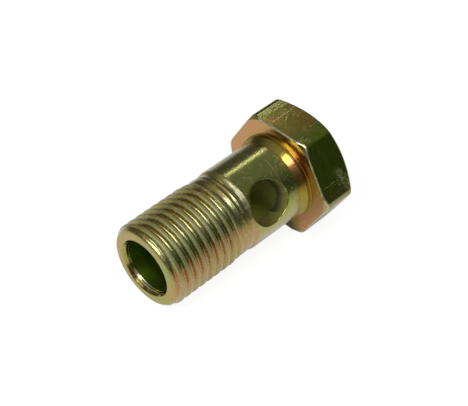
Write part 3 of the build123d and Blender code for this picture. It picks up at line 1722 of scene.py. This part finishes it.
FINISHES: dict[Zone, ZincFinish] = {
    Zone.TURNED: ZincFinish(
        "zinc_turned",
        (
            # Painted shade from 15 to 45 degrees, between the shank's highlight and the cross hole.
            Film(-180, 0.4, 0.1), Film(-60, 0.5, 0.1), Film(0, 0.3, 0.05), Film(15, 0.2, 0.1, shade=0.25),
            Film(45, 0.15, 0.0, shade=0.3), Film(60, 0.1), Film(85, 0.35, 0.1), Film(115, 0.55, 0.3),
        ),
        hue_spread=0.2,
        tool_marks=0.5,
        dents=0.6,
        roughness=0.2,
        scratches=0.6,
        gloss=0.8,
    ),
    Zone.THREAD: ZincFinish(
        "zinc_thread",
        (
            # Pale from 18 to 50 degrees, partly crest wear and partly a painted highlight; painted shade at
            # 68.
            Film(-180, 0.6, 0.2), Film(-60, 0.4, 0.1, 0.5), Film(-15, 0.45, 0.0, 0.5),
            Film(5, 0.4, 0.05, 0.4), Film(18, 0.35, 0.35, 0.3), Film(32, 0.25, 0.5, 0.1),
            Film(50, 0.3, 0.3, 0.0), Film(60, 0.4, 0.1, 0.3), Film(68, 0.6, 0.0, 0.8, 0.05),
            Film(90, 0.62, 0.0, 0.8), Film(110, 0.6, 0.1, 0.5),
        ),
        hue_spread=0.22,
        # Painted shade in the grooves: the deeper, the darker.
        groove_shade=0.35,
        crest_wear=0.6,
        roughness=0.26,
        dents=1.8,
        scuffs=0.4,
        gloss=0.9,
    ),
    Zone.SHOULDER: ZincFinish(
        "zinc_shoulder",
        (
            # Pale from 6 to 45 degrees, partly worn and partly a painted highlight; painted shade from 16 to
            # 75.
            Film(-180, 0.6, 0.2), Film(-60, 0.5, 0.1), Film(0, 0.5, 0.1), Film(6, 0.4, 0.4),
            Film(16, 0.4, 0.4, shade=0.25), Film(26, 0.25, 0.7, shade=0.65),
            Film(45, 0.25, 0.6, shade=0.3), Film(62, 0.6, 0.2), Film(75, 0.95, 0.1, shade=0.1),
            Film(115, 0.8, 0.2),
        ),
        hue_spread=0.2,
        roughness=0.32,
        dents=1.8,
        scuffs=0.5,
        gloss=0.9,
    ),
    Zone.LIP: ZincFinish(
        "zinc_lip",
        (
            # A little painted shade from -150 to -125 degrees.
            Film(-180, 0.45), Film(-150, 0.5, 0.0, shade=0.05), Film(-125, 0.65, 0.1, shade=0.1),
            Film(-105, 0.95, 0.15), Film(-60, 0.75, 0.3), Film(0, 0.65, 0.3), Film(60, 0.3, 0.2),
            Film(100, 0.95, 0.2), Film(125, 0.4),
        ),
        hue_spread=0.2,
        roughness=0.25,
        scratches=0.2,
        scuffs=0.1,
        gloss=0.25,
    ),
    Zone.MOUTH: ZincFinish(
        "zinc_mouth",
        (
            # Painted shade from -180 to -132 degrees, darkening the lamps' reflection in the countersink.
            Film(-180, 0.7, 0.0, shade=0.5), Film(-172, 0.75, 0.0, shade=0.93),
            Film(-145, 0.75, 0.0, shade=0.88), Film(-132, 0.7, 0.0, shade=0.2), Film(-110, 0.45, 0.1),
            Film(0, 0.4, 0.2), Film(120, 0.45, 0.2), Film(160, 0.3, 0.3),
        ),
        roughness=0.2,
        grain=0.15,
        gloss=0.1,
    ),
    Zone.THROAT: ZincFinish(
        "zinc_throat",
        (
            # Pale from 160 through 180 to -135 degrees, a painted highlight on the worn step; painted shade
            # from -112 to 130.
            Film(-180, 0.3, 1.0), Film(-135, 0.3, 1.0), Film(-112, 0.2, 0.2, shade=0.8),
            Film(0, 0.1, 0.0, shade=0.8), Film(130, 0.1, 0.3, shade=0.4), Film(160, 0.3, 0.9),
        ),
        roughness=0.12,
        grain=0.15,
        depth=0.2,
        gloss=0.4,
    ),
    Zone.BORE: ZincFinish(
        "zinc_bore",
        (Film(-180, 0.0),),
        hue_spread=0.05,
        tone=0.8,
        roughness=0.4,
        scratches=0.0,
        scuffs=0.0,
        gloss=0.4,
    ),
    Zone.HOLE: ZincFinish(
        "zinc_hole",
        (Film(-180, 0.35),),
        tone=0.85,
        roughness=0.45,
        scuffs=0.0,
        metallic=0.3,
        gloss=0.0,
    ),
    Zone.DRILLED: ZincFinish(
        "zinc_drilled",
        (Film(-180, 0.4),),
        # Low tone: the cross hole's walls are painted darker, as shade in the hole.
        tone=0.42,
        roughness=0.55,
        scuffs=0.2,
        metallic=0.1,
        gloss=0.0,
    ),
    Zone.COLLAR: ZincFinish(
        "zinc_collar",
        (
            # A little painted shade at 36 degrees.
            Film(-180, 0.8), Film(-60, 0.55), Film(8, 0.55), Film(22, 0.6), Film(36, 1.0, shade=0.1),
            Film(60, 0.8), Film(90, 0.5),
        ),
        tone=0.8,
        roughness=0.2,
        scratches=0.1,
        scuffs=0.0,
        gloss=0.0,
    ),
    Zone.SEAT: ZincFinish(
        "zinc_seat",
        (
            # Painted shadow from 145 through 180 to -150 degrees, where the seat mirrors the shadow under the
            # bolt; painted shade at 0 to 30.
            Film(-180, 0.6, shade=0.6), Film(-150, 1.0), Film(-60, 1.0), Film(-30, 0.95),
            Film(0, 0.85, shade=0.1), Film(30, 0.9, shade=0.25), Film(70, 0.8), Film(100, 1.0),
            Film(142, 1.0), Film(152, 0.8, shade=0.45), Film(159, 0.5, shade=0.8),
        ),
        hue_spread=0.12,
        roughness=0.18,
        grain=0.12,
        scratches=0.1,
        gloss=0.4,
    ),
    Zone.CHAMFER: ZincFinish(
        "zinc_chamfer",
        (
            # Painted shade from -60 to 0 degrees.
            Film(-180, 0.5, 0.2), Film(-60, 0.1, shade=0.3), Film(0, 0.2, shade=0.3), Film(60, 0.2),
            Film(85, 0.6, 0.4),
        ),
        depth=0.8,
        roughness=0.2,
        gloss=0.2,
    ),
    Zone.FLAT: ZincFinish(
        "zinc_flat",
        (
            # Painted shade at -30 to -20 degrees; pale at the corner at 90 degrees, partly a painted
            # reflection of the pale floor.
            Film(-180, 0.4, 0.1), Film(-31, 0.6), Film(-30, 0.38, 0.0, shade=0.15),
            Film(-20, 0.3, 0.0, shade=0.05), Film(-14, 0.75, 0.05), Film(8, 0.65), Film(18, 0.35),
            Film(31, 0.0), Film(80, 0.0), Film(89, 0.4, 0.5), Film(91, 0.55, 0.5),
        ),
        hue_spread=0.2,
        tone=0.72,
        depth=0.6,
        roughness=0.15,
        grain=0.12,
        scratches=0.25,
        scuffs=0.2,
        top_scuffs=0.2,
        worn_colour=RUBBED_FILM,
        gloss=0.15,
        strokes=(
            Stroke((-11.8, 28.8), (-11.6, 32.9)), Stroke((-11.6, 32.9), (-12.8, 33.9)),
            Stroke((-18.3, 32.1), (-15.2, 32.6)), Stroke((-16.1, 31.5), (-13.6, 31.9)),
            Stroke((-24.0, 29.5), (-25.5, 33.5), 0.5, 0.5),
            Stroke((-22.0, 31.0), (-21.0, 34.0), 0.25, 0.6),
            Stroke((24.0, 28.6), (27.5, 29.8), 0.5, 0.35), Stroke((73.4, 28.7), (72.8, 31.0), 0.09, 0.8),
            Stroke((72.8, 31.0), (75.6, 34.2), 0.09, 0.8), Stroke((74.5, 30.0), (78.5, 33.6), 0.09, 0.5),
            Stroke((66.0, 32.0), (76.0, 32.8), 1.1, 0.4), Stroke((69.0, 32.6), (82.0, 33.4), 1.0, 1.0),
            Stroke((70.0, 33.0), (76.0, 34.6), 0.2, 0.7), Stroke((78.0, 31.6), (80.0, 34.2), 0.12, 0.7),
        ),
    ),
    Zone.FACE: ZincFinish(
        "zinc_face",
        (Film(-180, 0.4, 0.1), Film(0, 0.3)),
        tool_marks=0.5,
        scratches=0.0,
        scuffs=0.2,
    ),
    Zone.EDGE: ZincFinish(
        "zinc_edge",
        (
            # Pale from -20 to 30 degrees and at 85: partly rubbed edges, partly a painted highlight where the
            # lamps catch them.
            Film(-180, 0.5, 0.5), Film(-30, 0.4, 0.3), Film(-20, 0.4, 0.8), Film(20, 0.4, 0.8),
            Film(30, 0.5, 1.0), Film(50, 0.3, 0.5), Film(75, 0.3, 0.5), Film(85, 0.6, 0.9),
        ),
        roughness=0.3,
        scuffs=0.6,
        worn_colour=BARE_ZINC,
    ),
}


# ---------------------------------------------------------------- the bolt


@dataclass
class BanjoBolt:
    """The whole bolt, as one closed mesh."""

    sizes: BoltSizes = field(default_factory=BoltSizes)

    def build(self) -> bpy.types.Object:
        """Builds the bolt's mesh and places it in the frame.

        Returns:
            The bolt, without its finishes.
        """
        bm = bmesh.new()
        thread = Thread(self.sizes)
        shank = DrilledShank(self.sizes)
        bore = FluidBore(self.sizes, shank, thread)
        thread.build(bm)
        shank.build(bm)
        bore.build(bm)
        HexagonHead(self.sizes, shank).build(bm)
        merge(bm)
        bridge(bm, [*ring_at(bm, bore.lip_ring), *ring_at(bm, thread.start)], Zone.THREAD)
        bridge(bm, [*ring_at(bm, thread.end), *ring_at(bm, shank.low)], Zone.SHOULDER)
        bmesh.ops.recalc_face_normals(bm, faces=bm.faces[:])
        open_edges = sum(not e.is_manifold for e in bm.edges)
        if open_edges:
            log.warning("%d edges are open", open_edges)
        for face in bm.faces:
            face.smooth = True
            face.material_index -= 1
        mesh = bpy.data.meshes.new(PIECE)
        bm.to_mesh(mesh)
        bm.free()
        mesh.transform(self.sizes.placement())
        bolt = bpy.data.objects.new(PIECE, mesh)
        bpy.context.scene.collection.objects.link(bolt)
        evened = bolt.modifiers.new("even_normals", "WEIGHTED_NORMAL")
        evened.keep_sharp = True
        return bolt

    def dress(self, bolt: bpy.types.Object) -> None:
        """Gives the bolt its finishes, one slot for each zone.

        Args:
            bolt: The built bolt.
        """
        for zone in Zone:
            bolt.data.materials.append(FINISHES[zone].material(self.sizes))


# ---------------------------------------------------------------- studio


@dataclass(frozen=True)
class SoftLamp:
    """A soft lamp that points at the bolt.

    Attributes:
        name: Its name.
        azimuth: Direction it stands in, in degrees from +X towards +Y.
        elevation: Its height over the horizon, in degrees.
        width: Its width, in metres.
        height: Its height, in metres.
        radiance: Brightness of its face.
        distance: Its distance from the bolt, in metres.
    """

    name: str
    azimuth: float
    elevation: float
    width: float
    height: float
    radiance: float
    distance: float = 0.7

    def place(self, target: Vector) -> None:
        """Adds the lamp.

        Args:
            target: Point that it faces.
        """
        azimuth = math.radians(self.azimuth)
        elevation = math.radians(self.elevation)
        away = Vector(
            (
                math.cos(azimuth) * math.cos(elevation),
                math.sin(azimuth) * math.cos(elevation),
                math.sin(elevation),
            )
        )
        data = bpy.data.lights.new(self.name, "AREA")
        data.shape = "RECTANGLE"
        data.size = self.width
        data.size_y = self.height
        data.energy = self.radiance * math.pi * self.width * self.height
        lamp = bpy.data.objects.new(self.name, data)
        lamp.location = target + away * self.distance
        lamp.rotation_euler = (-away).to_track_quat("-Z", "Y").to_euler()
        bpy.context.scene.collection.objects.link(lamp)


@dataclass(frozen=True)
class Studio:
    """Plain pale floor, soft lamps and the light of the room.

    Attributes:
        floor_size: Side of the floor, in metres.
        floor_tone: Grey of the floor.
        camera_white: Brightness of the plain white that the camera sees.
        backdrop_share: Share of plain white in what the camera sees of the floor.
        mirrored_share: The same for what the metal mirrors of it.
        lamps: The lamps.
        horizon: Grey of the room at the horizon.
        zenith: Grey of the room overhead.
        left_glow: Grey that a pale wall at the left adds.
        overhead_rise: Upward parts of a direction between which the room brightens to the zenith.
        wall_rise: The same for the pale wall.
        wall_side: Parts of a direction along X between which the pale wall comes in.
        sheet_reach: How far from the bolt the glowing white sheet that the metal mirrors, painted light,
        starts and ends to fade, in metres.
        room_floor: Grey of the floor beyond it, as the metal sees it.
    """

    floor_size: float = 4.0
    floor_tone: float = 0.85
    camera_white: float = 1.14
    backdrop_share: float = 0.8
    mirrored_share: float = 0.3
    lamps: tuple[SoftLamp, ...] = (
        SoftLamp("key_lamp", -178, 40, 0.42, 0.26, 7.0),
        SoftLamp("upper_lamp", -122, 66, 0.24, 0.24, 7.0),
        SoftLamp("rear_lamp", 51, 41, 0.06, 0.06, 6.5),
    )
    horizon: float = 0.085
    zenith: float = 0.3
    left_glow: float = 0.35
    overhead_rise: tuple[float, float] = (0.35, 1.0)
    wall_rise: tuple[float, float] = (0.4, 0.8)
    wall_side: tuple[float, float] = (0.1, -0.6)
    sheet_reach: tuple[float, float] = (0.02, 0.09)
    room_floor: float = 0.18

    def lay_floor(self) -> None:
        """Lays the floor that the bolt lies on."""
        bm = bmesh.new()
        bmesh.ops.create_grid(bm, x_segments=1, y_segments=1, size=self.floor_size / 2)
        mesh = bpy.data.meshes.new("studio_floor")
        bm.to_mesh(mesh)
        bm.free()
        floor = bpy.data.objects.new("studio_floor", mesh)
        bpy.context.scene.collection.objects.link(floor)
        mesh.materials.append(self.floor_material())

    def floor_material(self) -> bpy.types.Material:
        """Pale matt floor, which the camera and the metal see near white.

        Returns:
            The material. Besides the camera's even white, it glows for the metal's reflections as a white
            sheet near the bolt that fades to grey: painted light, not lit by the lamps.
        """
        made = bpy.data.materials.new("pale_floor")
        made.use_nodes = True
        graph = Graph(made.node_tree)
        tone = (self.floor_tone,) * 3
        matt = graph.add("ShaderNodeBsdfDiffuse", None, {"Color": tone})
        path = graph.add("ShaderNodeLightPath")
        place = graph.add("ShaderNodeTexCoord")
        reach = graph.add(
            "ShaderNodeVectorMath", {"operation": "LENGTH"}, {"Vector": graph.output(place, "Object")}
        )
        fade = graph.ramp(graph.output(reach, "Value"), *self.sheet_reach)
        # Painted light: a glowing white sheet near the bolt, fading to grey, that only the metal's
        # reflections see.
        sheet = 1.0 - fade * (1 - self.room_floor)
        seen, glossy, passing = (
            graph.output(path, f"Is {kind} Ray") for kind in ("Camera", "Glossy", "Transmission")
        )
        tone_seen = graph.highest([sheet, seen * self.camera_white])
        white = graph.add("ShaderNodeEmission", None, {"Color": tone_seen, "Strength": 1.0})
        white_share = seen * self.backdrop_share + graph.highest([glossy, passing]) * self.mirrored_share
        mixed = graph.add("ShaderNodeMixShader")
        graph.tree.links.new(white_share.socket, mixed.inputs[0])
        graph.tree.links.new(matt.outputs[0], mixed.inputs[1])
        graph.tree.links.new(white.outputs[0], mixed.inputs[2])
        graph.add("ShaderNodeOutputMaterial", None, {"Surface": mixed.outputs[0]})
        return made

    def light_room(self) -> None:
        """Sets the room's plain grey light: dimmest at the horizon, with a pale wall at the left."""
        world = bpy.data.worlds.new("studio_room")
        world.use_nodes = True
        bpy.context.scene.world = world
        graph = Graph(world.node_tree)
        direction = graph.add("ShaderNodeTexCoord")
        x, z = graph.parts(graph.output(direction, "Generated"), "XZ")
        overhead = graph.ramp(z, *self.overhead_rise) * (self.zenith - self.horizon)
        wall = graph.ramp(z, *self.wall_rise) * graph.ramp(x, *self.wall_side) * self.left_glow
        background = graph.add(
            "ShaderNodeBackground", None, {"Color": overhead + wall + self.horizon, "Strength": 1.0}
        )
        graph.add("ShaderNodeOutputWorld", None, {"Surface": background.outputs[0]})

    def build(self, target: Vector) -> None:
        """Builds the floor, the room's light and the lamps.

        Args:
            target: Point that the lamps face.
        """
        self.lay_floor()
        self.light_room()
        for lamp in self.lamps:
            lamp.place(target)


@dataclass(frozen=True)
class ViewPoint:
    """The camera, held a little tilted over the bolt, with its place in millimetres.

    Attributes:
        place: Where it stands.
        look: Direction that it looks in.
        up: Direction of the view's top.
        lens: Focal length, in millimetres.
        sensor_width: Width of the sensor, in millimetres.
        reach: Nearest and farthest distance that it sees, in metres.
    """

    place: tuple[float, float, float] = (-104.0573, -95.3502, 131.0171)
    look: tuple[float, float, float] = (0.56144271, 0.51001028, -0.65166832)
    up: tuple[float, float, float] = (0.4298007, 0.49322832, 0.75630496)
    lens: float = 93.468
    sensor_width: float = 36.0
    reach: tuple[float, float] = (0.01, 20.0)

    def build(self) -> None:
        """Creates the camera and makes it the scene's."""
        data = bpy.data.cameras.new("camera")
        data.sensor_width = self.sensor_width
        data.lens = self.lens
        data.clip_start, data.clip_end = self.reach
        camera = bpy.data.objects.new("camera", data)
        back = -Vector(self.look).normalized()
        right = Vector(self.up).cross(back).normalized()
        upward = back.cross(right)
        turned = Matrix((right, upward, back)).transposed().to_4x4()
        camera.matrix_world = Matrix.Translation(Vector(self.place) * MM) @ turned
        bpy.context.scene.collection.objects.link(camera)
        bpy.context.scene.camera = camera


def main() -> None:
    """Builds the bolt, dresses it and sets the studio round it."""
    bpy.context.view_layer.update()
    bpy.context.scene.view_settings.view_transform = "Standard"
    maker = BanjoBolt()
    bolt = maker.build()
    maker.dress(bolt)
    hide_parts(CAD_NODE)
    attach(bolt, "root")
    log.info("%s: %d faces", bolt.name, len(bolt.data.polygons))
    low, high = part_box(CAD_NODE)
    Studio().build((low + high) / 2)
    ViewPoint().build()


if __name__ == "__main__":
    main()
